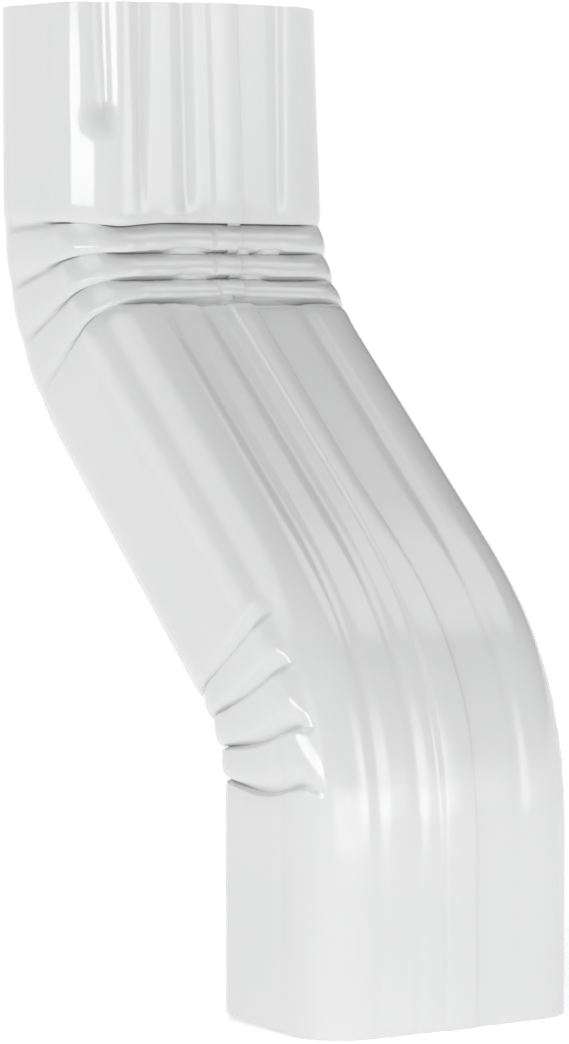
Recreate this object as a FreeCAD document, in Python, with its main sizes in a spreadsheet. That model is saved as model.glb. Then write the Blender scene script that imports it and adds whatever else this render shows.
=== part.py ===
import FreeCAD, Part
import math
import os
import Sketcher

# Offset downspout elbow: one sheet of painted aluminium rolled into a fluted rectangular tube,
# closed by a lock seam and crimped into two opposite bends. Millimetres and degrees.
# The inlet rim is in the XY plane, centred on the origin, and the tube hangs below it.
# The seam wall faces -Y (front), which is also the way the outlet is offset.

NODE = "downspout_elbow"
CREASES_PER_BEND = 4

# Driving dimensions: alias, value, meaning.
DIMENSIONS = (
    ("width", 76.2, "seam wall and back wall, outside to outside"),
    ("depth", 50.8, "side wall, outside to outside"),
    ("corner_radius", 14.0, "outside radius of the four long corners"),
    ("sheet", 0.6, "thickness of the sheet"),
    ("inlet_run", 55.7, "centreline from the inlet rim to the first crease"),
    ("middle_run", 103.9, "centreline between the two bends"),
    ("outlet_run", 54.5, "centreline from the last crease to the outlet rim"),
    ("kink", 12.0, "degrees turned at each crease"),
    ("upper_pitch", 12.3, "centreline between creases of the upper bend"),
    ("lower_pitch", 11.9, "centreline between creases of the lower bend"),
    ("tuck", 5.0, "how far a crease is folded into the tube at the inside of its bend"),
    ("side_tuck", 3.0, "how deep that fold is where the side wall starts"),
    ("tuck_tip", 0.6, "what is left of that fold where the side wall meets the far corner"),
    ("fold_reach", 2.4, "centreline from a crease to the shoulder of its fold"),
    ("shoulder_roll", 1.0, "how far a shoulder is rolled in below the crest of its band"),
    ("flute_width", 4.6, "mouth of a V flute"),
    ("flute_depth", 1.0, "depth of a V flute"),
    ("edge_flute", 2.4, "from the end of the left corner to the middle of the flute beside it"),
    ("left_flute", 8.15, "from the left edge of the seam to the middle of the flute beside it"),
    ("right_flute", 10.15, "from the right edge of the seam to the middle of the flute beside it"),
    ("seam_centre", 0.5, "right of the middle, middle of the lock seam"),
    ("seam_width", 8.7, "width of the lock seam"),
    ("seam_rise", 1.2, "height of the folded seam over its wall"),
    ("nick_depth", 3.0, "how far the front left corner is pressed in at the inlet"),
    ("nick_length", 28.0, "length of that pressed corner below the rim"),
    ("nick_runout", 6.0, "length over which it runs out to the full corner"),
    ("nick_start", 15.0, "degrees round the corner from the side wall to the pressed part"),
    ("nick_valley", 55.0, "degrees round the corner to its valley"),
    ("nick_end", 72.0, "degrees round the corner to its end"),
)

# Places across the seam wall, measured from its middle, +X to the right.
FLAT = "(dims.width / 2 - dims.corner_radius)"
SEAM_LEFT = "(dims.seam_centre - dims.seam_width / 2)"
SEAM_RIGHT = "(dims.seam_centre + dims.seam_width / 2)"
FLUTES = (
    f"(dims.edge_flute - {FLAT})",
    f"({SEAM_LEFT} - dims.left_flute)",
    f"({SEAM_RIGHT} + dims.right_flute)",
)

doc = FreeCAD.newDocument("DownspoutElbow")
dims = doc.addObject("Spreadsheet::Sheet", "dims")
for row, (alias, number, meaning) in enumerate(DIMENSIONS, start=1):
    dims.set(f"A{row}", alias)
    dims.set(f"B{row}", str(number))
    dims.set(f"C{row}", meaning)
    dims.setAlias(f"B{row}", alias)
doc.recompute()


def number_of(expression):
    """Present value of an expression over the sheet."""
    return float(dims.evalExpression(expression))


def flute_points(centre, wall, inward):
    """V groove in a wall: its left lip, its valley and its right lip."""
    return [
        (f"{centre} - dims.flute_width / 2", wall, None),
        (centre, f"{wall} + {inward} * dims.flute_depth", None),
        (f"{centre} + dims.flute_width / 2", wall, None),
    ]


def seam_points(wall):
    """Folded lock seam that stands proud of the front wall."""
    top = f"{wall} - dims.seam_rise"
    corners = [(SEAM_LEFT, wall), (SEAM_LEFT, top), (SEAM_RIGHT, top), (SEAM_RIGHT, wall)]
    return [(x, y, None) for x, y in corners]


def pressed_corner_points(side, front, nick):
    """Front left corner from the side wall to the front wall, round or pressed in."""
    across = f"(dims.corner_radius - ({side}))"
    along = f"(dims.corner_radius - ({front}))"
    bend = None if nick else across
    stops = (
        ("0", across, "0"),
        ("dims.nick_start", bend, "0"),
        ("dims.nick_valley", bend, nick or "0"),
        ("dims.nick_end", across, "0"),
    )
    points = []
    for angle, bulge, press in stops:
        x = f"dims.corner_radius - dims.width / 2 - ({across} - {press}) * cos({angle})"
        y = f"dims.corner_radius - dims.depth / 2 - ({along} - {press}) * sin({angle})"
        points.append((x, y, bulge))
    return points


def section_points(front, front_side, back, back_side, nick, with_seam):
    """Closed outline of the tube, anticlockwise seen from above.

    Each point is (x, y, radius of the arc that leaves it, or None for a straight edge). The four insets
    say how far the front wall, the front of the sides, the back wall and the back of the sides stand
    inside the plain tube.
    """
    front_wall = f"({front} - dims.depth / 2)"
    back_wall = f"(dims.depth / 2 - ({back}))"
    turn = "(dims.depth / 2 - dims.corner_radius)"
    front_radius = f"dims.corner_radius - ({front_side})"
    back_radius = f"dims.corner_radius - ({back_side})"

    points = [(f"-{FLAT}", front_wall, None)]
    points += flute_points(FLUTES[0], front_wall, 1)
    points += flute_points(FLUTES[1], front_wall, 1)
    if with_seam:
        points += seam_points(front_wall)
    points += flute_points(FLUTES[2], front_wall, 1)
    points.append((FLAT, front_wall, front_radius))
    points.append((f"dims.width / 2 - ({front_side})", f"-{turn}", None))
    points.append((f"dims.width / 2 - ({back_side})", turn, back_radius))
    points.append((FLAT, back_wall, None))
    for flute in reversed(FLUTES):
        points += reversed(flute_points(flute, back_wall, -1))
    points.append((f"-{FLAT}", back_wall, back_radius))
    points.append((f"{back_side} - dims.width / 2", turn, None))
    points += pressed_corner_points(front_side, front, nick)
    return points


def draw_outline(sketch, points, anchors):
    """Draw a closed outline and tie every corner and radius of it to the sheet.

    anchors remembers which edge first took each size, so that later ones are lined up with it.
    """
    first = sketch.GeometryCount
    count = len(points)
    corners = [FreeCAD.Vector(number_of(x), number_of(y), 0) for x, y, _ in points]
    edges = []
    constraints = []
    expressions = []

    def tie(kind, edge, expression, number):
        """Set one size of an edge, or match it to the edge that already has that size."""
        leader = anchors.setdefault((kind, expression), edge)
        if kind == "Radius":
            own = Sketcher.Constraint(kind, edge, number)
            match = Sketcher.Constraint("Equal", leader, edge)
        else:
            own = Sketcher.Constraint(kind, -1, 1, edge, 1, number)
            line_up = "Vertical" if kind == "DistanceX" else "Horizontal"
            match = Sketcher.Constraint(line_up, leader, 1, edge, 1)
        constraints.append(own if leader == edge else match)
        expressions.append(expression if leader == edge else None)

    for index, (x, y, bulge) in enumerate(points):
        edge = first + index
        start = corners[index]
        end = corners[(index + 1) % count]
        tie("DistanceX", edge, x, start.x)
        tie("DistanceY", edge, y, start.y)
        if bulge is None:
            edges.append(Part.LineSegment(start, end))
            continue
        chord = end - start
        radius = number_of(bulge)
        tie("Radius", edge, bulge, radius)
        rise = radius - math.sqrt(radius ** 2 - chord.Length ** 2 / 4)
        outward = FreeCAD.Vector(chord.y, -chord.x, 0).normalize()
        edges.append(Part.Arc(start, (start + end) / 2 + outward * rise, end))
    sketch.addGeometry(edges, False)
    sketch.addConstraint([
        Sketcher.Constraint("Coincident", first + index, 2, first + (index + 1) % count, 1)
        for index in range(count)
    ])
    for slot, expression in zip(sketch.addConstraint(constraints), expressions):
        if expression:
            sketch.setExpression(f"Constraints[{slot}]", expression)


body = doc.addObject("PartDesign::Body", "Elbow")
body.Label = NODE
section_plane = next(plane for plane in body.Origin.OriginFeatures if plane.Role == "XY_Plane")


def add_section(name, front="0", front_side="0", back="0", back_side="0", walls=None, nick=None):
    """Sketch of the sheet in section: its outer and its inner outline.

    walls gives the thickness in the plane of the section at the front, the front of the sides, the back
    and the back of the sides, where it isn't just the sheet.
    """
    sketch = body.newObject("Sketcher::SketchObject", name)
    sketch.AttachmentSupport = [(section_plane, "")]
    sketch.MapMode = "FlatFace"
    insets = (front, front_side, back, back_side)
    inner = [f"{inset} + {wall}" for inset, wall in zip(insets, walls or ("dims.sheet",) * 4)]
    anchors = {}
    draw_outline(sketch, section_points(*insets, nick, True), anchors)
    draw_outline(sketch, section_points(*inner, nick, False), anchors)
    return sketch


def fold_wall(pitch):
    """Thickness across the flank of a fold, measured in the plane of the section."""
    reach = f"dims.fold_reach * (1 - dims.depth * tan(dims.kink / 2) / {pitch})"
    return f"dims.sheet * sqrt(1 + ((dims.tuck - dims.shoulder_roll) / ({reach})) ^ 2)"


def shoulder_wall(pitch):
    """Thickness at a shoulder, between that of the flank and that of the band."""
    return f"(dims.sheet + {fold_wall(pitch)}) / 2"


plain = add_section("plain_section")
pressed = add_section("pressed_inlet_section", nick="dims.nick_depth")
upper_flank = fold_wall("dims.upper_pitch")
upper_edge = shoulder_wall("dims.upper_pitch")
lower_flank = fold_wall("dims.lower_pitch")
lower_edge = shoulder_wall("dims.lower_pitch")
# The upper bend is tucked at the front wall, the lower bend at the back wall.
upper_crease = add_section(
    "upper_crease_section", front="dims.tuck", front_side="dims.side_tuck", back_side="dims.tuck_tip",
    walls=(upper_flank, upper_flank, "dims.sheet", "dims.sheet"))
upper_shoulder = add_section(
    "upper_shoulder_section", front="dims.shoulder_roll",
    walls=(upper_edge, upper_edge, "dims.sheet", "dims.sheet"))
lower_crease = add_section(
    "lower_crease_section", front_side="dims.tuck_tip", back="dims.tuck", back_side="dims.side_tuck",
    walls=("dims.sheet", "dims.sheet", lower_flank, lower_flank))
lower_shoulder = add_section(
    "lower_shoulder_section", back="dims.shoulder_roll",
    walls=("dims.sheet", "dims.sheet", lower_edge, lower_edge))


def bend_stations(headings, pitch, shoulder, crease):
    """Sections through one bend, from a pitch after the section before it to a pitch past its last crease.

    headings gives the turns made by each length of tube in the bend. A crease lies square to the more
    upright of the two lengths that it joins. Each station is (section, step along the centreline, turns
    of the centreline there, turns of the section).
    """
    planes = [headings[0], *map(min, headings, headings[1:]), headings[-1]]
    half_band = f"{pitch} / 2 - dims.fold_reach"
    end_band = f"{pitch} - dims.fold_reach"
    share = f"dims.fold_reach / {pitch}"
    last = len(headings) - 2
    stations = []
    for index, (before, after) in enumerate(zip(headings, headings[1:])):
        plane = planes[index + 1]
        back = planes[index] - plane
        ahead = planes[index + 2] - plane
        crest = planes[-1] if index == last else plane + ahead / 2
        stations += [
            (shoulder, half_band if index else end_band, before, f"{plane} + ({back}) * {share}"),
            (crease, "dims.fold_reach", before, f"{plane}"),
            (shoulder, "dims.fold_reach", after, f"{plane} + ({ahead}) * {share}"),
            (plain, end_band if index == last else half_band, after, f"{crest}"),
        ]
    return stations


turns = list(range(CREASES_PER_BEND + 1))
nick_foot = "dims.nick_length + dims.nick_runout"
route = [
    (pressed, "dims.nick_length", 0, "0"),
    (plain, "dims.nick_runout", 0, "0"),
    (plain, f"dims.inlet_run - ({nick_foot}) - dims.upper_pitch", 0, "0"),
]
route += bend_stations(turns, "dims.upper_pitch", upper_shoulder, upper_crease)
middle_straight = "dims.middle_run - dims.upper_pitch - dims.lower_pitch"
route.append((plain, middle_straight, CREASES_PER_BEND, f"{CREASES_PER_BEND}"))
route += bend_stations(turns[::-1], "dims.lower_pitch", lower_shoulder, lower_crease)
route.append((plain, "dims.outlet_run - dims.lower_pitch", 0, "0"))


def place_stations():
    """Stand each section on the centreline, a step on from the one before it."""
    lean_axis = FreeCAD.Vector(1, 0, 0)
    placed = []
    behind = pressed
    for section, step, axis_turns, section_turns in route:
        station = doc.addObject("App::Link", "station")
        station.LinkedObject = section
        heading = f"({axis_turns} * dims.kink)"
        station.Placement = FreeCAD.Placement(FreeCAD.Vector(), FreeCAD.Rotation(lean_axis, -1))
        station.setExpression(
            "Placement.Base.y", f"{behind.Name}.Placement.Base.y - ({step}) * 1 mm * sin{heading}")
        station.setExpression(
            "Placement.Base.z", f"{behind.Name}.Placement.Base.z - ({step}) * 1 mm * cos{heading}")
        station.setExpression("Placement.Rotation.Angle", f"-({section_turns}) * dims.kink")
        placed.append(station)
        behind = station
    return placed


stations = place_stations()
doc.recompute()

# The sheet itself: a hollow loft, straight from each section to the next.
sheet_loft = body.newObject("PartDesign::AdditiveLoft", "crimped_sheet")
sheet_loft.Profile = pressed
sheet_loft.Sections = [(station, [""]) for station in stations]
sheet_loft.Ruled = True
doc.recompute()


def check_document():
    """Stop if any object failed to compute or the sheet isn't one sound solid."""
    for item in doc.Objects:
        if "Invalid" in item.State or "Error" in item.State:
            raise RuntimeError(f"{item.Label} failed: {item.State}")
    shape = body.Shape
    if shape.isNull() or not shape.isValid() or len(shape.Solids) != 1:
        raise RuntimeError(f"{body.Label} is not one valid solid")
    if shape.Volume <= 0:
        raise RuntimeError(f"{body.Label} is inside out")


check_document()
os.makedirs("parts", exist_ok=True)
body.Shape.exportStep(os.path.join("parts", f"{body.Label}.step"))
print(f"{body.Label}: {body.Shape.Volume:.0f} cubic mm, box {body.Shape.BoundBox}")
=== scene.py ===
"""Dressed model of an offset downspout elbow: one crimped and seamed sheet of white enamelled aluminium."""
import logging
import math
from dataclasses import dataclass, field
from enum import Enum

import bmesh
import bpy
import numpy as np
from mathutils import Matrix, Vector


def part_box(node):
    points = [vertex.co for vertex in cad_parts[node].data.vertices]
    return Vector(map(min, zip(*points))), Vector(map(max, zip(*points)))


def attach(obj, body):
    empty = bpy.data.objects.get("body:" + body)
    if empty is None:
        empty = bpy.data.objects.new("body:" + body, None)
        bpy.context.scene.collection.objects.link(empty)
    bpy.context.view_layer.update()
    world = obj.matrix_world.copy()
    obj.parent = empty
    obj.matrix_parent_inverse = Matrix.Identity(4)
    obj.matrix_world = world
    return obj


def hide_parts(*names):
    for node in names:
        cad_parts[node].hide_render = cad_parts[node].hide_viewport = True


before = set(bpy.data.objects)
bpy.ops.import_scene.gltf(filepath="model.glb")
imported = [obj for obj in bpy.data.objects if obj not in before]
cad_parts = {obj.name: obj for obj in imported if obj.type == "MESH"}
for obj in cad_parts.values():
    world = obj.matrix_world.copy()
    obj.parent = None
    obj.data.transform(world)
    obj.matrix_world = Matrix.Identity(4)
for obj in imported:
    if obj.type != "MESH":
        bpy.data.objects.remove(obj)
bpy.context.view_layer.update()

LOG = logging.getLogger("downspout_elbow")
NODE = "downspout_elbow"
MM = 0.001
WHITE = "#FFFFFF"
BACK_GIRTH = 3.0  # girth on the back wall
WALL_GIRTH = 0.01  # how near in girth a column counts as on a wall
MIX_SHARE, MIX_FIRST, MIX_SECOND, MIX_RESULT = 0, 6, 7, 2  # socket numbers of a Mix node for colours

Array = np.ndarray
Pair = tuple[float, float]
Table = tuple[Pair, ...]
Place = tuple[float, float, float]
Tree = bpy.types.NodeTree
Socket = bpy.types.NodeSocket


def linear(code: str) -> tuple[float, float, float, float]:
    """Turn an sRGB hex colour into linear light.

    Args:
        code: Colour such as "#E8E8E8".

    Returns:
        Red, green and blue in linear light, and full opacity.
    """
    levels = [int(code[place:place + 2], 16) / 255 for place in (1, 3, 5)]
    red, green, blue = (level / 12.92 if level <= 0.04045 else ((level + 0.055) / 1.055) ** 2.4 for level in levels)
    return red, green, blue, 1.0


def add_node(tree: Tree, kind: str, settings: dict | None = None,
             links: dict | None = None) -> bpy.types.Node:
    """Add one node with its settings and links.

    Args:
        tree: Node tree that gets the node.
        kind: Blender's name for the kind of node.
        settings: Values by input name, input number or property name.
        links: Sockets that feed the node, by input name or number.

    Returns:
        The new node.
    """
    node = tree.nodes.new(kind)
    for key, value in (settings or {}).items():
        if isinstance(key, int) or key in node.inputs:
            node.inputs[key].default_value = value
        else:
            setattr(node, key, value)
    for key, socket in (links or {}).items():
        tree.links.new(socket, node.inputs[key])
    return node


def start_material(name: str) -> tuple[bpy.types.Material, Tree, Socket]:
    """Start a material with nothing but its place in the object.

    Args:
        name: Name of the material.

    Returns:
        The material, its node tree and the socket with the place.
    """
    material = bpy.data.materials.new(name)
    material.use_nodes = True
    tree = material.node_tree
    tree.nodes.clear()
    return material, tree, add_node(tree, "ShaderNodeTexCoord").outputs["Object"]


def add_noise(tree: Tree, place: Socket, grain_mm: float, detail: float = 2.0) -> Socket:
    """Level of a noise texture at a place, with its size of grain and number of finer layers."""
    noise = add_node(tree, "ShaderNodeTexNoise", {"Scale": 1 / (grain_mm * MM), "Detail": detail}, {"Vector": place})
    return noise.outputs["Fac"]


def mix_colours(tree: Tree, codes: tuple[str, str], share: Socket) -> Socket:
    """Mix two colours.

    Args:
        tree: Node tree that gets the node.
        codes: Hex colours at a share of 0 and of 1.
        share: Socket with the share.

    Returns:
        Socket with the colour.
    """
    first, second = map(linear, codes)
    mix = add_node(tree, "ShaderNodeMix", {"data_type": "RGBA", MIX_FIRST: first, MIX_SECOND: second},
                   {MIX_SHARE: share})
    return mix.outputs[MIX_RESULT]


def vary(tree: Tree, value: float, spread: Pair, share: Socket, span: Pair = (0.0, 1.0)) -> Socket:
    """Let a value vary with a share.

    Args:
        tree: Node tree that gets the node.
        value: Plain value.
        spread: Lowest and highest multiple of it.
        share: Socket with the share.
        span: Shares at which these are reached.

    Returns:
        Socket with the varied value.
    """
    ease = add_node(tree, "ShaderNodeMapRange", {"From Min": span[0], "From Max": span[1],
                    "To Min": value * spread[0], "To Max": value * spread[1]}, {"Value": share})
    return ease.outputs["Result"]


def add_surface(tree: Tree, settings: dict, links: dict) -> None:
    """Add the shader of a finish, with its settings and links, and the output of its material."""
    shader = add_node(tree, "ShaderNodeBsdfPrincipled", settings, links)
    add_node(tree, "ShaderNodeOutputMaterial", links={"Surface": shader.outputs["BSDF"]})


def smooth_step(value: Array, low: float, high: float) -> Array:
    """Ease from 0 at low to 1 at high."""
    part = np.clip((np.asarray(value, dtype=float) - low) / (high - low), 0.0, 1.0)
    return part * part * (3 - 2 * part)


@dataclass(frozen=True)
class GlossEnamel:
    """Coil-coated polyester enamel, baked white gloss on aluminium.

    A smooth film over rolled sheet: clear sharp highlights, with a faint orange peel that makes their edges
    waver and slow changes of gloss along the roll.
    """

    colour: str = "#DFDFDF"
    worn: str = "#DADBDB"
    ior: float = 1.5
    roughness: float = 0.08
    peel_mm: float = 2.2
    peel_height_mm: float = 0.004
    drift_mm: float = 38.0
    drift_span: Pair = (0.3, 0.7)
    gloss_spread: Pair = (0.85, 1.2)

    def make(self) -> bpy.types.Material:
        """Build the material.

        Returns:
            White gloss enamel.
        """
        material, tree, place = start_material("white gloss enamel")
        drift = add_noise(tree, place, self.drift_mm)
        peel = add_noise(tree, place, self.peel_mm, detail=1.0)
        bump = add_node(tree, "ShaderNodeBump", {"Strength": 1.0, "Distance": self.peel_height_mm * MM},
                        {"Height": peel})
        add_surface(tree, {"IOR": self.ior}, {
            "Base Color": mix_colours(tree, (self.worn, self.colour), drift),
            "Roughness": vary(tree, self.roughness, self.gloss_spread, drift, self.drift_span),
            "Normal": bump.outputs["Normal"]})
        return material


@dataclass(frozen=True)
class BackerCoat:
    """Thin wash of pale grey primer on the inside of the coil.

    It is duller than the enamel, and the rolling lines of the aluminium show through it.
    """

    colour: str = "#D3D5D3"
    thin: str = "#C3C6C6"
    ior: float = 1.5
    roughness: float = 0.45
    line_mm: float = 1.6
    line_stretch: float = 0.06
    drift_mm: float = 14.0
    dull_spread: Pair = (0.8, 1.2)

    def make(self) -> bpy.types.Material:
        """Build the material.

        Returns:
            Pale grey backer coat.
        """
        material, tree, place = start_material("grey backer coat")
        drawn = add_node(tree, "ShaderNodeMapping", {"Scale": (1.0, 1.0, self.line_stretch)}, {"Vector": place})
        lines = add_noise(tree, drawn.outputs["Vector"], self.line_mm)
        patches = add_noise(tree, place, self.drift_mm)
        add_surface(tree, {"IOR": self.ior}, {
            "Base Color": mix_colours(tree, (self.thin, self.colour), lines),
            "Roughness": vary(tree, self.roughness, self.dull_spread, patches)})
        return material


@dataclass(frozen=True)
class ShearedEdge:
    """Bare aluminium where the shear cut the sheet: a bright burnished line with short drag marks."""

    colour: str = "#D4D5D6"
    roughness: float = 0.34
    rough_spread: Pair = (0.7, 1.3)
    drag_mm: float = 0.8

    def make(self) -> bpy.types.Material:
        """Build the material.

        Returns:
            Bare sheared aluminium.
        """
        material, tree, place = start_material("sheared aluminium")
        drag = add_noise(tree, place, self.drag_mm)
        add_surface(tree, {"Base Color": linear(self.colour), "Metallic": 1.0},
                    {"Roughness": vary(tree, self.roughness, self.rough_spread, drag)})
        return material


@dataclass(frozen=True)
class StudioPaper:
    """Matt white paper on a light table, lit from below, with the slight mottle of its pulp."""

    colour: str = "#F4F4F4"
    pulp: str = "#EFEFEF"
    pulp_mm: float = 3.0
    roughness: float = 0.9
    glow: float = 0.58

    def make(self) -> bpy.types.Material:
        """Build the material.

        Returns:
            White studio paper.
        """
        material, tree, place = start_material("studio paper")
        pulp = add_noise(tree, place, self.pulp_mm)
        add_surface(tree, {"Roughness": self.roughness, "Emission Color": linear(WHITE),
                           "Emission Strength": self.glow},
                    {"Base Color": mix_colours(tree, (self.pulp, self.colour), pulp)})
        return material


class Bend(Enum):
    """The two bends: the upper is crimped at the front wall, the lower at the back wall."""

    UPPER = "upper"
    LOWER = "lower"


@dataclass
class Columns:
    """Places round the open section of the sheet, one entry for each column of the blank.

    girth is 0 on the front wall, 0 to 1 round a front corner, 1 to 2 along a side, 2 to 3 round a back corner and
    3 on the back wall. turn is degrees round the front left corner from the side wall, and -1 elsewhere.
    """

    x: Array
    y: Array
    out_x: Array
    out_y: Array
    girth: Array
    rise: Array
    turn: Array

    def __len__(self) -> int:
        """Number of columns."""
        return len(self.x)

    @property
    def front(self) -> Array:
        """Whether each column lies on the front wall."""
        return self.girth < WALL_GIRTH

    def near(self, place: Pair, spread: float) -> Array:
        """How near each column is to a place in the section, 1 at the place and falling off over the spread."""
        return np.exp(-((self.x - place[0]) ** 2 + (self.y - place[1]) ** 2) / spread ** 2)


@dataclass
class TubeSection:
    """Rectangular fluted tube with round corners and a lock seam in its front wall, in millimetres."""

    width: float = 76.2
    depth: float = 50.8
    corner: float = 14.0
    sheet: float = 0.56
    step: float = 0.9
    seam_left: float = -3.85
    seam_right: float = 4.85
    seam_rise: float = 0.9
    seam_gap: float = 0.06
    seam_crown: float = 0.14
    seam_lap: float = 3.8
    seam_fold: float = 72.0
    seam_shoulder: float = 0.5
    seam_ramp: float = 1.3
    seam_clear: float = 0.3
    tucked_rise: float = -0.03
    flutes: tuple[float, ...] = (-21.7, -10.7, 18.4)
    flute_width: float = 5.6
    flute_depths: tuple[float, ...] = (1.15, 1.0, 0.7)
    flute_spread: float = 1.1
    runout_pinch: float = 0.85
    runout_fade: float = 0.6
    bow: float = 0.3
    side_flute: float = -8.4
    side_flute_depth: float = 0.22
    side_flute_half: float = 2.6

    @property
    def flat(self) -> float:
        """Half the straight part of the front wall."""
        return self.width / 2 - self.corner

    @property
    def side(self) -> float:
        """Half the straight part of a side wall."""
        return self.depth / 2 - self.corner

    def stretch(self, x: Array, y: Array, out: Pair | tuple[Array, Array], girth: Array | float,
                rise: Array | float = 0.0, turn: Array | float = -1.0) -> Array:
        """Line up one stretch of the section.

        Args:
            x: Places across the tube.
            y: Places from front to back.
            out: The two parts of the outward direction.
            girth: How far round from the front wall to the back wall.
            rise: Height over the plain wall.
            turn: Degrees round the front left corner.

        Returns:
            One row of values for each column.
        """
        return np.stack(np.broadcast_arrays(x, y, out[0], out[1], girth, rise, turn), axis=1).astype(float)

    def lock_seam(self) -> Array:
        """Folded edge of the sheet: the flange underneath, its fold, the top and the step down to the wall.

        Returns:
            Rows of column values.
        """
        radius = (self.seam_rise - self.seam_crown - self.seam_gap) / 2
        middle = self.seam_gap + radius
        bend = self.seam_right - radius
        flange = np.linspace(bend - self.seam_lap, bend, 4)
        fold = np.radians(np.linspace(-self.seam_fold, self.seam_fold, 7))
        shoulder = self.seam_left + self.seam_shoulder
        top = np.linspace(bend, shoulder, 7)
        ramp = np.linspace(0.1, 1.0, 6)
        x = np.concatenate([flange, bend + radius * np.cos(fold), top, shoulder - self.seam_ramp * ramp])
        crown = self.seam_crown * np.cos(np.linspace(-1, 1, len(top)) * math.pi / 2)
        rise = np.concatenate([
            np.full(len(flange), self.seam_gap),
            middle + radius * np.sin(fold),
            self.seam_rise + crown - self.seam_crown,
            (self.seam_rise - self.seam_crown) * (1 - smooth_step(ramp, 0.0, 1.0))])
        return self.stretch(x, -self.depth / 2, (0.0, -1.0), 0.0, rise)

    def flute_press(self, x: Array, fade: Array) -> Array:
        """Depth that the rolled flutes press into the front and back walls.

        Args:
            x: Places across the wall, one for each column.
            fade: How far the first flute has run out, from 0 to 1, for each row and column.

        Returns:
            Depth for each row and column.
        """
        press = np.zeros_like(fade)
        for number, (middle, depth) in enumerate(zip(self.flutes, self.flute_depths)):
            run_out = fade if number == 0 else np.zeros_like(fade)
            half = self.flute_width / 2 * (self.flute_spread - self.runout_pinch * run_out)
            across = np.clip((x - middle) / half, -1, 1)
            press += depth * (1 - self.runout_fade * run_out ** 3) * np.cos(across * math.pi / 2) ** 2
        return press

    def round_corner(self, way_x: int, way_y: int, angles: Array, pressed: bool = False) -> Array:
        """Quarter round between a side wall and the front or back wall.

        Args:
            way_x: -1 for the left side, 1 for the right.
            way_y: -1 for the front, 1 for the back.
            angles: Degrees from the side wall.
            pressed: Whether the columns take part in the pressed corner.

        Returns:
            Rows of column values.
        """
        turn = np.radians(angles)
        out = (way_x * np.cos(turn), way_y * np.sin(turn))
        round_part = angles / 90
        girth = 1 - round_part if way_y < 0 else 2 + round_part
        return self.stretch(way_x * self.flat + self.corner * out[0], way_y * self.side + self.corner * out[1],
                            out, girth, 0.0, angles if pressed else -1.0)

    def side_wall(self, way_x: int, count: int) -> Array:
        """Straight part of a side wall, from the front to the back.

        Args:
            way_x: -1 for the left side, 1 for the right.
            count: Number of columns.

        Returns:
            Rows of column values.
        """
        part = np.linspace(0, 1, count)
        y = self.side * (2 * part - 1)
        across = np.clip((y - self.side_flute) / self.side_flute_half, -1, 1)
        rise = -self.side_flute_depth * np.cos(across * math.pi / 2) ** 2
        return self.stretch(way_x * self.width / 2, y, (way_x, 0.0), 1 + part, rise)

    def wall_places(self, start: float, end: float) -> Array:
        """Even places from start to end, about a step apart, without the two ends."""
        count = max(2, round(abs(end - start) / self.step))
        return np.linspace(start, end, count + 1)[1:-1]

    def columns(self) -> Columns:
        """Walk round the section from the seam's flange to the edge tucked under it.

        Returns:
            The columns of the sheet, in order.
        """
        front, back = -self.depth / 2, self.depth / 2
        fine = np.concatenate([np.linspace(0, 44, 12), np.linspace(47.5, 75, 12), np.linspace(79, 90, 4)])
        left_front = self.wall_places(self.seam_left + self.seam_shoulder - self.seam_ramp, -self.flat)
        back_wall = self.wall_places(-self.flat, self.flat)
        right_front = self.wall_places(self.flat, self.seam_right + self.seam_clear)
        tucked = np.linspace(self.seam_right, self.seam_right - self.seam_lap, 5)
        rows = np.vstack([
            self.lock_seam(),
            self.stretch(left_front, front, (0.0, -1.0), 0.0),
            self.round_corner(-1, -1, fine[::-1], pressed=True),
            self.side_wall(-1, 15)[1:-1],
            self.round_corner(-1, 1, np.linspace(0, 90, 14)),
            self.stretch(back_wall, back, (0.0, 1.0), BACK_GIRTH),
            self.round_corner(1, 1, np.linspace(90, 0, 12)),
            self.side_wall(1, 14)[::-1][1:-1],
            self.round_corner(1, -1, np.linspace(0, 90, 16)),
            self.stretch(right_front, front, (0.0, -1.0), 0.0),
            self.stretch(tucked, front, (0.0, -1.0), 0.0, self.tucked_rise),
        ])
        return Columns(*rows.T)


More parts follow.
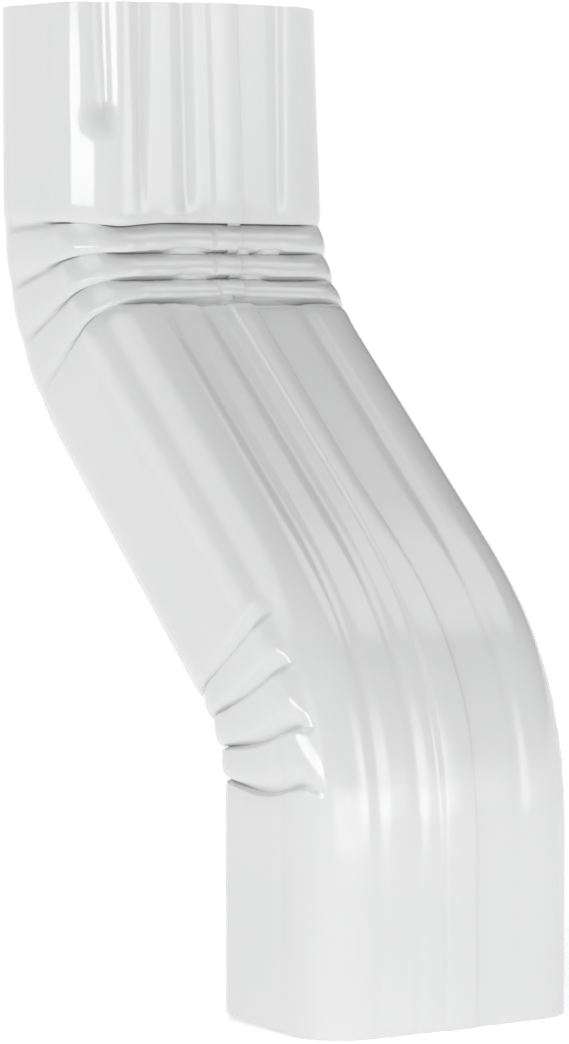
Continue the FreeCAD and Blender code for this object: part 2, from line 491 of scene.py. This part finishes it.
@dataclass
class Centreline:
    """Mitred line down the middle of the tube, in millimetres and degrees."""

    inlet_run: float = 55.7
    upper_pitch: float = 12.3
    middle_run: float = 103.9
    lower_pitch: float = 11.9
    outlet_run: float = 54.5
    kink: float = 12.0
    creases: int = 4

    def steps(self) -> list[Pair]:
        """Straights of the line, from the inlet down.

        Returns:
            Length and heading of each straight.
        """
        turns = range(1, self.creases)
        return [(self.inlet_run, 0.0),
                *((self.upper_pitch, turn * self.kink) for turn in turns),
                (self.middle_run, self.creases * self.kink),
                *((self.lower_pitch, turn * self.kink) for turn in reversed(turns)),
                (self.outlet_run, 0.0)]

    @property
    def first_upper(self) -> float:
        """Station of the upper bend's first crease."""
        return self.inlet_run

    @property
    def first_lower(self) -> float:
        """Station of the lower bend's first crease."""
        return self.inlet_run + (self.creases - 1) * self.upper_pitch + self.middle_run

    @property
    def length(self) -> float:
        """Station of the outlet rim."""
        return sum(step for step, _ in self.steps())

    def lean(self, station: Array) -> Array:
        """Angle of the section plane.

        Args:
            station: Stations down the line.

        Returns:
            Angles in radians.
        """
        upper = np.clip((station - self.first_upper) / self.upper_pitch, 0, self.creases)
        lower = np.clip((station - self.first_lower) / self.lower_pitch + 1, 0, self.creases)
        return np.radians(self.kink) * (upper - lower)

    def point(self, station: Array) -> tuple[Array, Array]:
        """Places on the line, which runs on straight past both rims.

        Args:
            station: Stations down the line.

        Returns:
            Y and Z in millimetres.
        """
        spare = self.upper_pitch + self.lower_pitch
        knots, across, down = [-spare], [0.0], [spare]
        steps = self.steps()
        steps[0] = (steps[0][0] + spare, steps[0][1])
        steps[-1] = (steps[-1][0] + spare, steps[-1][1])
        for step, heading in steps:
            knots.append(knots[-1] + step)
            across.append(across[-1] - step * math.sin(math.radians(heading)))
            down.append(down[-1] - step * math.cos(math.radians(heading)))
        return np.interp(station, knots, across), np.interp(station, knots, down)

    def stand(self, x: Array, y: Array, station: Array) -> Array:
        """Stand points of the section on the line.

        Args:
            x: Places across the tube.
            y: Places from front to back of the section.
            station: Stations down the line.

        Returns:
            Places in the object's frame, in millimetres.
        """
        lean = self.lean(station)
        across, down = self.point(station)
        return np.stack([x, across + y * np.cos(lean), down - y * np.sin(lean)], axis=2)


@dataclass
class Lens:
    """Place where the lips of a crease stand open on the front wall, in millimetres.

    open is how far each lip stands back from the fold and drop how much further the lower one does, sink is the depth
    between the lips, roll is the share of its roll that the lower lip keeps, and blunt is below 1 for blunt ends.
    """

    crease: int
    left: float
    right: float
    open: float = 1.15
    sink: float = 0.6
    drop: float = 0.0
    roll: float = 0.5
    blunt: float = 0.6

    def share(self, x: Array) -> Array:
        """How open the crease is at places across the wall, from 0 to 1."""
        middle, half = (self.left + self.right) / 2, (self.right - self.left) / 2
        return np.clip(1 - ((x - middle) / half) ** 2, 0, 1) ** self.blunt


@dataclass
class Crimp:
    """How the creases of one bend fold the sheet, by girth from the crimped wall, in millimetres.

    Each table has (girth, value) pairs. tuck is the depth of the fold, upper_mouth and lower_mouth run from its
    bottom to its lips, upper_roll and lower_roll are how far the lips sink below the crest of their band, and soft is
    0 for a sharp fold and 1 for a soft dent. droop lowers each crease at the front left corner, left_lift raises it
    on the left side and left_sag lets it sag there, shut narrows its mouth, and bite is the share of its depth that
    it keeps away from the crimped wall.

    end_reach and foot_reach are how far the straights above and below give way to the mouths. The fields after them
    say where these effects start and stop, and ease_before and ease_after where the flutes flatten and come back.
    """

    bend: Bend
    tuck: Table
    upper_mouth: Table
    lower_mouth: Table
    upper_roll: Table
    lower_roll: Table
    soft: Table
    droop: tuple[float, ...] = (0.0, 0.0, 0.0, 0.0)
    left_lift: tuple[float, ...] = (0.0, 0.0, 0.0, 0.0)
    left_sag: tuple[float, ...] = (0.0, 0.0, 0.0, 0.0)
    shut: tuple[float, ...] = (1.0, 1.0, 1.0, 1.0)
    bite: tuple[float, ...] = (1.0, 1.0, 1.0, 1.0)
    lenses: tuple[Lens, ...] = ()
    end_reach: float = 5.0
    foot_reach: float = 5.0
    droop_place: float = -27.0
    droop_spread: float = 7.0
    droop_girth: float = 1.6
    droop_reach: float = 60.0
    lift_girth: Pair = (0.35, 0.8)
    lift_fade: float = 24.0
    sag_girth: Pair = (0.7, 2.4)
    sag_side: float = -30.0
    run_in: float = 14.0
    run_out: float = 16.0
    bite_girth: Pair = (0.6, 1.2)
    ease_before: Pair = (9.0, 1.0)
    ease_after: Pair = (1.0, 10.0)

    def read(self, table: Table, girth: Array) -> Array:
        """Value of a table at the girth of each column."""
        places, values = zip(*table)
        return np.interp(self.away(girth), places, values)

    def away(self, girth: Array) -> Array:
        """Girth measured from the crimped wall."""
        return girth if self.bend is Bend.UPPER else BACK_GIRTH - girth


@dataclass
class Row:
    """One row of the blank.

    lower and upper are its shares of the mouth of the crease over it and under it, lower_roll and upper_roll its
    shares of the rolls of their lips, and fold is its place in a fold, from -1 at the upper lip to 1 at the lower.
    """

    station: float
    lower: float = 0.0
    upper: float = 0.0
    fold: float | None = None
    lower_roll: float = 0.0
    upper_roll: float = 0.0
    crimp: Crimp | None = None
    crease: int = 0

    @property
    def under_crease(self) -> bool:
        """Whether the row lies on the band or the straight under its crease."""
        return self.fold is None and self.lower > 0


@dataclass
class Mouth:
    """How the lips beside a row stand, one entry for each column.

    above and below run from the fold to its lips, openness is 0 where the crease is shut and 1 where it stands open,
    sink is the depth between open lips, and kept is the share of its roll that the lower lip keeps.
    """

    above: Array
    below: Array
    openness: Array
    sink: Array
    kept: Array


@dataclass
class PressedCorner:
    """Front left corner pressed in at the inlet, in millimetres and degrees."""

    depth: float = 2.9
    profile: Table = (
        (24, 0.0), (30, 0.03), (35, 0.13), (50, 0.84), (54, 0.97), (57, 1.0), (59.5, 0.93), (62, 0.8), (70, 0.26),
        (72.5, 0.12), (75, 0.04), (79, 0.0))
    deepest: float = 57.0
    drift: float = 6.0
    length: float = 27.0
    runout: float = 7.0
    rim_dip: float = 1.0
    dip_place: Pair = (-30.0, -19.0)
    dip_spread: float = 24.0
    dip_reach: float = 22.0

    def press(self, turn: Array, station: Array) -> Array:
        """Depth pressed in at the corner.

        Args:
            turn: Degrees round the corner for each column, and -1 off it.
            station: Stations for each row and column.

        Returns:
            Depth for each row and column.
        """
        turns, shares = zip(*self.profile)
        weight = np.interp(turn, (turns[0], self.deepest, turns[-1]), (0, 1, 0))
        slid = turn - self.drift * station / self.length * weight
        across = np.where(turn < 0, 0.0, self.depth * np.interp(slid, turns, shares))
        return across * (1 - smooth_step(station, self.length, self.length + self.runout))

    def dip(self, columns: Columns, station: Array) -> Array:
        """How far the rim and the rows near it sink at the pressed corner."""
        near = columns.near(self.dip_place, self.dip_spread)
        return self.rim_dip * near * np.clip(1 - station / self.dip_reach, 0, 1)


@dataclass
class RollDrift:
    """How the rolling and crimping left the front wall out of true, in millimetres.

    Each table has (station, value) pairs: how far the left and right edges of the seam wander across the wall, and how
    far the front right corner is squeezed in or bulges out.
    """

    seam_left: Table = ((0, 1.9), (28, 3.0), (56, 3.9), (66, 3.2), (80, 1.4), (95, 0.0), (165, 0.4), (215, 0.0))
    seam_right: Table = ((0, 1.7), (28, 2.8), (56, 3.7), (66, 2.2), (80, 0.0), (95, -2.0), (165, -2.6), (215, 0.0))
    bulge: Table = ((0, -1.2), (26, -0.2), (52, 0.9), (62, 1.3), (90, 1.1), (106, 0.0))
    outlet_cut: float = 1.5
    cut_place: Pair = (-38.0, 12.0)
    cut_spread: float = 22.0
    cut_reach: float = 30.0
    lip: float = 0.4
    lip_spread: float = 1.6
    lip_from: Pair = (-19.5, 57.0)
    lip_to: Pair = (-8.0, 52.5)

    def ridge(self, columns: Columns, station: Array) -> Array:
        """How far a slanting lip stands out of the front wall over the first crease.

        Args:
            columns: Columns of the sheet.
            station: Stations for each row and column.

        Returns:
            Height for each row and column.
        """
        part = np.clip((columns.x - self.lip_from[0]) / (self.lip_to[0] - self.lip_from[0]), 0, 1)
        crest = self.lip_from[1] + part * (self.lip_to[1] - self.lip_from[1])
        height = self.lip * np.sin(math.pi * part) * np.exp(-((station - crest) / self.lip_spread) ** 2)
        return np.where(columns.front, height, 0.0)

    def slip(self, section: TubeSection, columns: Columns, station: Array) -> Array:
        """How far points of the front wall slip across it.

        Args:
            section: Section of the tube.
            columns: Columns of the sheet.
            station: Stations for each row and column.

        Returns:
            Slip for each row and column.
        """
        left = np.interp(station, *zip(*self.seam_left))
        right = np.interp(station, *zip(*self.seam_right))
        over = np.clip((columns.x - section.seam_left) / (section.seam_right - section.seam_left), 0, 1)
        beside = np.minimum(1, np.minimum((columns.x + section.flat) / (section.seam_left + section.flat),
                                          (section.flat - columns.x) / (section.flat - section.seam_right)))
        return np.where(columns.front, (left * (1 - over) + right * over) * np.clip(beside, 0, 1), 0.0)

    def swell(self, columns: Columns, station: Array) -> Array:
        """How far the front right corner stands out at columns and stations."""
        corner = np.where((columns.x > 0) & (columns.girth < 1), np.sin(math.pi * columns.girth) ** 2, 0.0)
        return corner * np.interp(station, *zip(*self.bulge))

    def cut(self, columns: Columns, station: Array, length: float) -> Array:
        """How far the outlet rim and the rows near it are cut short at the back left corner."""
        near = columns.near(self.cut_place, self.cut_spread)
        return self.outlet_cut * near * np.clip(1 - (length - station) / self.cut_reach, 0, 1)


def upper_crimp() -> Crimp:
    """Crimp of the upper bend, with its open creases.

    Returns:
        The crimp.
    """
    return Crimp(
        bend=Bend.UPPER,
        tuck=((0, 5.0), (0.2, 4.4), (0.42, 0.9), (0.72, 0.9), (0.84, 2.6), (1.1, 2.6), (1.3, 1.5), (2, 0.7),
              (2.6, 0.0)),
        upper_mouth=((0, 0.6), (0.25, 0.55), (0.45, 0.3), (1.05, 0.35), (1.5, 1.2), (2, 2.4), (3, 2.8)),
        lower_mouth=((0, 0.6), (0.3, 0.55), (0.55, 0.3), (1.05, 0.35), (1.5, 1.2), (2, 2.4), (3, 2.8)),
        upper_roll=((0, 0.8), (0.5, 0.7), (1, 0.5), (2, 0.3), (2.7, 0.0)),
        lower_roll=((0, 3.2), (0.2, 2.7), (0.45, 0.8), (1, 0.6), (2, 0.3), (2.7, 0.0)),
        soft=((0, 0.0), (1, 0.15), (1.6, 0.9), (3, 1.0)),
        droop=(1.8, 0.8, 0.8, 0.8),
        shut=(0.25, 0.35, 0.35, 0.45),
        lenses=(Lens(1, -16.5, -3.6, 1.6), Lens(1, 3.2, 10.6, 1.5), Lens(1, 10.8, 21.0, 1.3),
                Lens(2, -15.5, -3.6, 1.5), Lens(2, 3.8, 14.0, 1.4), Lens(3, -18.0, 23.0, 0.9, 0.7, 2.8, 0.9)),
        foot_reach=8.5,
    )


def lower_crimp() -> Crimp:
    """Crimp of the lower bend, whose creases end bluntly near the front corners.

    Returns:
        The crimp.
    """
    return Crimp(
        bend=Bend.LOWER,
        tuck=((0, 5.0), (0.5, 2.9), (1, 2.3), (1.5, 1.8), (2, 1.5), (2.2, 1.4), (2.42, 0.2), (2.5, 0.0)),
        upper_mouth=((0, 0.6), (1, 1.0), (1.5, 2.4), (2.5, 3.2), (3, 3.2)),
        lower_mouth=((0, 0.6), (1, 0.7), (1.5, 0.9), (2.5, 1.3), (3, 1.6)),
        upper_roll=((0, 1.0), (0.5, 0.9), (1, 0.7), (2, 0.35), (2.4, 0.0)),
        lower_roll=((0, 1.0), (0.5, 0.7), (1, 0.4), (2, 0.15), (2.4, 0.0)),
        soft=((0, 0.0), (1, 0.15), (1.6, 0.5), (3, 0.7)),
        left_lift=(0.2, 1.5, 2.2, 3.2),
        left_sag=(0.3, 0.9, 1.6, 2.3),
        bite=(0.45, 0.7, 1.0, 1.0),
        ease_before=(10.0, 1.0),
        ease_after=(1.0, 9.0),
    )


@dataclass
class CrimpedSheet:
    """The elbow itself: a flat blank that is fluted, rolled, seamed, crimped and bent.

    crest is where a band stands highest, gape the profile of an open crease, crush the share of their depth that the
    flutes lose in a bend, and draw how far either way a bend rounds its outer wall.
    """

    section: TubeSection = field(default_factory=TubeSection)
    line: Centreline = field(default_factory=Centreline)
    corner: PressedCorner = field(default_factory=PressedCorner)
    drift: RollDrift = field(default_factory=RollDrift)
    upper: Crimp = field(default_factory=upper_crimp)
    lower: Crimp = field(default_factory=lower_crimp)
    fold_places: tuple[float, ...] = (0.0, 0.2, 0.45, 0.7, 0.9, 1.0)
    band_places: tuple[float, ...] = (0.08, 0.2, 0.36, 0.52, 0.68, 0.8, 0.88, 0.94, 0.98)
    end_places: tuple[float, ...] = (0.25, 0.5, 0.75, 0.92)
    inlet_rows: int = 22
    middle_rows: int = 20
    outlet_rows: int = 12
    crest: float = 0.62
    sharp_power: float = 1.5
    gape: Table = ((-1.0, 0.0), (-0.9, 0.9), (-0.7, 0.8), (-0.45, 0.35), (-0.2, 0.3), (0.2, 0.3), (0.45, 0.4),
                   (0.7, 1.0), (0.9, 1.2), (1.0, 0.0))
    crush: float = 0.85
    drawn_back: Pair = (1.5, 2.8)
    drawn_front: Pair = (0.2, 1.5)
    draw: float = 13.0
    draw_count: int = 11
    flute_share: Table = ((0, 1.0), (50, 1.0), (95, 0.7), (160, 0.6), (195, 0.4), (250, 0.25))
    enamel: GlossEnamel = GlossEnamel()
    backer: BackerCoat = BackerCoat()
    edge: ShearedEdge = ShearedEdge()
    sharp_angle: float = 75.0

    @property
    def bends(self) -> tuple[tuple[Crimp, float, float], ...]:
        """Crimp, first station and pitch of each bend."""
        return ((self.upper, self.line.first_upper, self.line.upper_pitch),
                (self.lower, self.line.first_lower, self.line.lower_pitch))

    def bend_rows(self, crimp: Crimp, first: float, pitch: float) -> list[Row]:
        """Rows of one bend, from the straight above it to the straight below.

        Args:
            crimp: How the bend's creases fold.
            first: Station of its first crease.
            pitch: Distance between its creases.

        Returns:
            The rows in order.
        """
        rows = []
        last = self.line.creases - 1
        for part in (0.0, *self.end_places):
            rows.append(Row(first - crimp.end_reach * (1 - part), upper=-part, upper_roll=part ** 4, crimp=crimp))
        for crease in range(self.line.creases):
            station = first + crease * pitch
            for place in [-place for place in self.fold_places[:0:-1]] + list(self.fold_places):
                rows.append(Row(station, max(place, 0.0), min(place, 0.0), place, (1 + place) / 2, (1 - place) / 2,
                                crimp, crease))
            if crease < last:
                for part in self.band_places:
                    rows.append(Row(station + part * pitch, 1 - part, -part, None,
                                    max(0.0, 1 - part / self.crest) ** 2,
                                    max(0.0, (part - self.crest) / (1 - self.crest)) ** 3, crimp, crease))
        below = first + last * pitch
        for part in (*self.end_places[::-1], 0.0):
            rows.append(Row(below + crimp.foot_reach * (1 - part), lower=part, lower_roll=part ** 2, crimp=crimp,
                            crease=last))
        return rows

    def rows(self) -> list[Row]:
        """All rows of the blank.

        Returns:
            The rows from the inlet rim to the outlet rim.
        """
        upper, lower = (self.bend_rows(*bend) for bend in self.bends)
        inlet = np.linspace(0, upper[0].station, self.inlet_rows + 1)[:-1]
        middle = np.linspace(upper[-1].station, lower[0].station, self.middle_rows + 2)[1:-1]
        outlet = np.linspace(lower[-1].station, self.line.length, self.outlet_rows + 1)[1:]
        return [*map(Row, inlet), *upper, *map(Row, middle), *lower, *map(Row, outlet)]

    def mouth(self, row: Row, columns: Columns) -> Mouth:
        """How the lips beside a row of a bend stand.

        Args:
            row: The row.
            columns: Columns of the sheet.

        Returns:
            The mouth at each column.
        """
        crimp = row.crimp
        front_wall = np.clip(1 - columns.girth, 0, 1)
        shut, next_shut = (1 - (1 - crimp.shut[min(crease, self.line.creases - 1)]) * front_wall
                           for crease in (row.crease, row.crease + 1))
        above = crimp.read(crimp.upper_mouth, columns.girth) * (next_shut if row.under_crease else shut)
        below = crimp.read(crimp.lower_mouth, columns.girth) * shut
        openness, sink, kept = np.zeros(len(columns)), np.zeros(len(columns)), np.ones(len(columns))
        for lens in crimp.lenses:
            share = np.where(columns.front, lens.share(columns.x), 0.0)
            if lens.crease == row.crease:
                openness = np.maximum(openness, share)
                sink = np.maximum(sink, lens.sink * (share > 0))
                below = np.maximum(below, (lens.open + lens.drop) * share)
                kept = np.minimum(kept, 1 - (1 - lens.roll) * share)
            if lens.crease == row.crease + row.under_crease:
                above = np.maximum(above, lens.open * share)
        return Mouth(above, below, openness, sink, kept)

    def fold_depth(self, row: Row, columns: Columns, mouth: Mouth) -> Array:
        """Depth of a row that lies in a fold.

        Args:
            row: The row.
            columns: Columns of the sheet.
            mouth: How the lips beside the row stand.

        Returns:
            Depth below the lips for each column.
        """
        crimp = row.crimp
        soft = crimp.read(crimp.soft, columns.girth)
        place = abs(row.fold)
        shut = (1 - soft) * (1 - place) + soft * (1 - place ** 2) ** 2
        gape = np.interp(row.fold, *zip(*self.gape))
        lips = (crimp.read(crimp.upper_roll, columns.girth) + crimp.read(crimp.lower_roll, columns.girth)) / 2
        away = smooth_step(crimp.away(columns.girth), *crimp.bite_girth)
        tuck = np.maximum(crimp.read(crimp.tuck, columns.girth) - lips, 0) * (1 - (1 - crimp.bite[row.crease]) * away)
        return (1 - mouth.openness) * tuck * shut + mouth.openness * mouth.sink * gape

    def left_run(self, row: Row, columns: Columns) -> Array:
        """How far a row of a bend runs below its plain place at the front left corner and on the left side.

        Args:
            row: The row.
            columns: Columns of the sheet.

        Returns:
            Change of station for each column.
        """
        crimp = row.crimp
        near = np.where(columns.x < 0, np.exp(-((columns.x - crimp.droop_place) / crimp.droop_spread) ** 2), 0.0)
        past = abs(row.station - self.line.first_upper) / crimp.droop_reach
        near = near * np.clip(crimp.droop_girth - columns.girth, 0, 1) * np.clip(1 - past, 0, 1)
        creases = self.line.first_lower + np.arange(self.line.creases) * self.line.lower_pitch
        knots = [creases[0] - crimp.run_in, *creases, creases[-1] + crimp.run_out]
        lift, sag = (np.interp(row.station, knots, [0, *amounts, 0]) for amounts in (crimp.left_lift, crimp.left_sag))
        left = smooth_step(-columns.x, -crimp.lift_fade, crimp.lift_fade)
        left = left * smooth_step(columns.girth, *crimp.lift_girth)
        low, high = crimp.sag_girth
        hang = np.sin(math.pi * np.clip((columns.girth - low) / (high - low), 0, 1)) ** 2
        return crimp.droop[row.crease] * near - lift * left + sag * np.where(columns.x < crimp.sag_side, hang, 0.0)

    def place_row(self, row: Row, columns: Columns) -> tuple[Array, Array]:
        """Station and fold depth of a row at each column.

        Args:
            row: The row.
            columns: Columns of the sheet.

        Returns:
            Stations down the centreline and depths below the plain wall.
        """
        station = np.full(len(columns), row.station)
        depth = np.zeros(len(columns))
        crimp = row.crimp
        if crimp is None:
            return station, depth
        mouth = self.mouth(row, columns)
        if row.fold is not None:
            soft = np.maximum(crimp.read(crimp.soft, columns.girth), mouth.openness)
            reach = abs(row.fold) ** (self.sharp_power - (self.sharp_power - 1) * soft)
            station += np.where(row.fold > 0, reach * mouth.below, -reach * mouth.above)
            depth += self.fold_depth(row, columns, mouth)
        else:
            station += row.lower * mouth.below + row.upper * mouth.above
        depth += row.lower_roll * crimp.read(crimp.lower_roll, columns.girth) * mouth.kept
        depth += row.upper_roll * crimp.read(crimp.upper_roll, columns.girth)
        return station + self.left_run(row, columns), depth

    def crushed(self, columns: Columns, station: Array) -> Array:
        """How far the upper bend flattens the flutes in front, and the lower bend those at the back.

        Args:
            columns: Columns of the sheet.
            station: Stations for each row and column.

        Returns:
            Share from 0 to 1 for each row and column.
        """
        shares = []
        for crimp, first, pitch in self.bends:
            last = first + (self.line.creases - 1) * pitch
            start, full = crimp.ease_before
            fade, stop = crimp.ease_after
            shares.append(smooth_step(station, first - start, first - full)
                          * (1 - smooth_step(station, last + fade, last + stop)))
        return np.where(columns.girth < BACK_GIRTH / 2, *shares)

    def wall_press(self, columns: Columns, station: Array) -> Array:
        """Depth of the flutes and the pressed corner, less the bow of the front wall.

        Args:
            columns: Columns of the sheet.
            station: Stations for each row and column.

        Returns:
            Depth for each row and column.
        """
        section, first = self.section, self.line.first_upper
        fade = np.where(station < first, np.clip(station / first, 0, 1), 0.0)
        fluted = (columns.front | (columns.girth > BACK_GIRTH - WALL_GIRTH)) & (columns.rise <= 0)
        press = np.where(fluted, section.flute_press(columns.x, fade), 0.0)
        press = press - np.where(columns.front, section.bow * (1 - (columns.x / section.flat) ** 2), 0.0)
        press = press * np.interp(station, *zip(*self.flute_share))
        return press * (1 - self.crush * self.crushed(columns, station)) + self.corner.press(columns.turn, station)

    def fold_blank(self) -> tuple[Array, int, int]:
        """Work out where each point of the blank ends up.

        Returns:
            Places in metres by row and column, the number of rows and the number of columns.
        """
        columns = self.section.columns()
        rows = self.rows()
        station, depth = map(np.array, zip(*(self.place_row(row, columns) for row in rows)))
        station = station + self.corner.dip(columns, station) - self.drift.cut(columns, station, self.line.length)
        height = columns.rise - self.wall_press(columns, station) - depth
        height = height + self.drift.swell(columns, station) + self.drift.ridge(columns, station)
        x = columns.x + columns.out_x * height + self.drift.slip(self.section, columns, station)
        y = columns.y + columns.out_y * height
        halfway = self.line.first_lower - self.line.middle_run / 2
        outside = np.where(station < halfway, smooth_step(columns.girth, *self.drawn_back),
                           1 - smooth_step(columns.girth, *self.drawn_front))
        shifts = np.linspace(-self.draw, self.draw, self.draw_count)
        places = sum(self.line.stand(x, y, station + shift * outside) for shift in shifts)
        return places / self.draw_count * MM, len(rows), len(columns)

    def build(self) -> bpy.types.Object:
        """Form the blank into the elbow and give it its thickness.

        Returns:
            The finished piece.
        """
        places, row_count, column_count = self.fold_blank()
        blank = bmesh.new()
        half = 0.5
        bmesh.ops.create_grid(blank, x_segments=column_count - 1, y_segments=row_count - 1, size=half)
        blank.verts.ensure_lookup_table()
        for vert in blank.verts:
            column = round((vert.co.x + half) * (column_count - 1))
            row = round((vert.co.y + half) * (row_count - 1))
            vert.co = places[row, column]
        blank.normal_update()
        mesh = bpy.data.meshes.new("elbow_blank")
        blank.to_mesh(mesh)
        blank.free()
        piece = bpy.data.objects.new("elbow_sheet", mesh)
        bpy.context.scene.collection.objects.link(piece)
        self.dress(piece)
        self.thicken(piece)
        return piece

    def dress(self, piece: bpy.types.Object) -> None:
        """Give the piece its three finishes: painted face, inside and cut edge.

        Args:
            piece: The folded sheet.
        """
        for finish in (self.enamel, self.backer, self.edge):
            piece.data.materials.append(finish.make())

    def thicken(self, piece: bpy.types.Object) -> None:
        """Give the sheet its thickness on the inside, and keep its cut edges crisp.

        Args:
            piece: The folded sheet, whose mesh is replaced.
        """
        wall = piece.modifiers.new("sheet", "SOLIDIFY")
        wall.thickness = self.section.sheet * MM
        wall.offset = -1
        wall.use_even_offset = False
        wall.material_offset = 1
        wall.material_offset_rim = 2
        graph = bpy.context.evaluated_depsgraph_get()
        solid = bpy.data.meshes.new_from_object(piece.evaluated_get(graph))
        solid.name = "elbow_sheet"
        piece.modifiers.clear()
        piece.data = solid
        solid.shade_smooth()
        solid.set_sharp_from_angle(angle=math.radians(self.sharp_angle))


@dataclass
class SoftBox:
    """Rectangular studio light, in metres and watts."""

    name: str
    place: Place
    aim: Place
    size: Pair
    power: float

    def build(self) -> bpy.types.Object:
        """Hang the light and turn it to its aim.

        Returns:
            The light.
        """
        lamp = bpy.data.lights.new(self.name, "AREA")
        lamp.shape = "RECTANGLE"
        lamp.size, lamp.size_y = self.size
        lamp.energy = self.power
        box = bpy.data.objects.new(self.name, lamp)
        box.location = self.place
        box.rotation_euler = (Vector(self.aim) - Vector(self.place)).to_track_quat("-Z", "Y").to_euler()
        bpy.context.scene.collection.objects.link(box)
        return box


@dataclass(frozen=True)
class LightCloud:
    """Soft round light in the room: its direction, the cosines at its edge and its core, and its level."""

    way: Place
    edge: float
    core: float
    level: float


@dataclass
class Studio:
    """Floor, light and camera, in metres and degrees."""

    floor_level: float
    floor_half: float = 4.0
    camera_place: Place = (-0.52824, -0.86322, -0.08263)
    camera_yaw: float = 33.27
    camera_pitch: float = -2.81
    focal_px: float = 3904.4
    image_height: int = 1044
    sensor: float = 36.0
    clip: Pair = (0.01, 50.0)
    horizon: float = 1.01
    middle: float = 0.14
    horizon_fade: Pair = (0.1, 0.2)
    clouds: tuple[LightCloud, ...] = (
        LightCloud((-0.62, 0.1, 0.78), 0.89, 0.99, 2.0),
        LightCloud((-0.816, -0.475, 0.326), 0.972, 0.996, 1.2),
        LightCloud((0.37, -0.92, 0.09), 0.955, 0.999, 2.3),
        LightCloud((0.34, -0.87, 0.34), 0.972, 0.998, 1.9),
        LightCloud((0.54, -0.2, 0.815), 0.948, 0.988, 2.1),
    )
    boxes: tuple[SoftBox, ...] = (
        SoftBox("left_strip", (-1.513, -0.42, 0.06), (0.0, -0.02, -0.03), (1.5, 0.15), 3.6),
        SoftBox("low_box", (-0.05, -0.5, -0.19), (0.0, -0.13, -0.22), (0.5, 0.1), 0.27),
    )
    paper: StudioPaper = StudioPaper()

    def build(self) -> None:
        """Set up the floor, the light and the camera."""
        self.lay_floor()
        self.light_room()
        for box in self.boxes:
            box.build()
        self.aim_camera()
        bpy.context.scene.view_settings.view_transform = "Standard"

    def lay_floor(self) -> None:
        """Lay the paper at the foot of the elbow."""
        sheet = bmesh.new()
        bmesh.ops.create_grid(sheet, x_segments=4, y_segments=4, size=self.floor_half)
        bmesh.ops.translate(sheet, verts=sheet.verts, vec=(0, 0, self.floor_level))
        mesh = bpy.data.meshes.new("studio_floor")
        sheet.to_mesh(mesh)
        sheet.free()
        mesh.materials.append(self.paper.make())
        floor = bpy.data.objects.new("studio_floor", mesh)
        bpy.context.scene.collection.objects.link(floor)

    def light_room(self) -> None:
        """Fill the room with a white horizon and soft clouds of light."""
        world = bpy.data.worlds.new("studio_room")
        bpy.context.scene.world = world
        world.use_nodes = True
        tree = world.node_tree
        tree.nodes.clear()
        way = add_node(tree, "ShaderNodeTexCoord").outputs["Generated"]
        parts = add_node(tree, "ShaderNodeSeparateXYZ", links={"Vector": way})
        start, stop = self.horizon_fade
        low = add_node(tree, "ShaderNodeMapRange", {"From Min": start, "From Max": stop, "To Min": self.horizon,
                       "To Max": self.middle, "interpolation_type": "SMOOTHSTEP"}, {"Value": parts.outputs["Z"]})
        level = low.outputs["Result"]
        for cloud in self.clouds:
            near = add_node(tree, "ShaderNodeVectorMath", {"operation": "DOT_PRODUCT",
                            1: Vector(cloud.way).normalized()}, {0: way})
            lit = add_node(tree, "ShaderNodeMapRange", {"From Min": cloud.edge, "From Max": cloud.core,
                           "To Max": cloud.level, "interpolation_type": "SMOOTHSTEP"}, {"Value": near.outputs["Value"]})
            level = add_node(tree, "ShaderNodeMath", {"operation": "ADD"},
                             {0: level, 1: lit.outputs["Result"]}).outputs["Value"]
        glow = add_node(tree, "ShaderNodeBackground", {"Color": linear(WHITE)}, {"Strength": level})
        add_node(tree, "ShaderNodeOutputWorld", links={"Surface": glow.outputs["Background"]})

    def aim_camera(self) -> None:
        """Stand the camera where the photograph was taken from."""
        lens = bpy.data.cameras.new("camera")
        lens.sensor_width = self.sensor
        lens.lens = self.focal_px / self.image_height * self.sensor
        lens.clip_start, lens.clip_end = self.clip
        camera = bpy.data.objects.new("camera", lens)
        camera.location = self.camera_place
        camera.rotation_euler = (math.radians(90 + self.camera_pitch), 0, math.radians(-self.camera_yaw))
        bpy.context.scene.collection.objects.link(camera)
        bpy.context.scene.camera = camera


def main() -> None:
    """Build the elbow and its studio, and report each piece."""
    logging.basicConfig(level=logging.INFO, format="%(name)s: %(message)s")
    piece = CrimpedSheet().build()
    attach(piece, "root")
    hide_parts(NODE)
    LOG.info("%s: %d faces", piece.name, len(piece.data.polygons))
    Studio(floor_level=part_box(NODE)[0][2]).build()


if __name__ == "__main__":
    main()
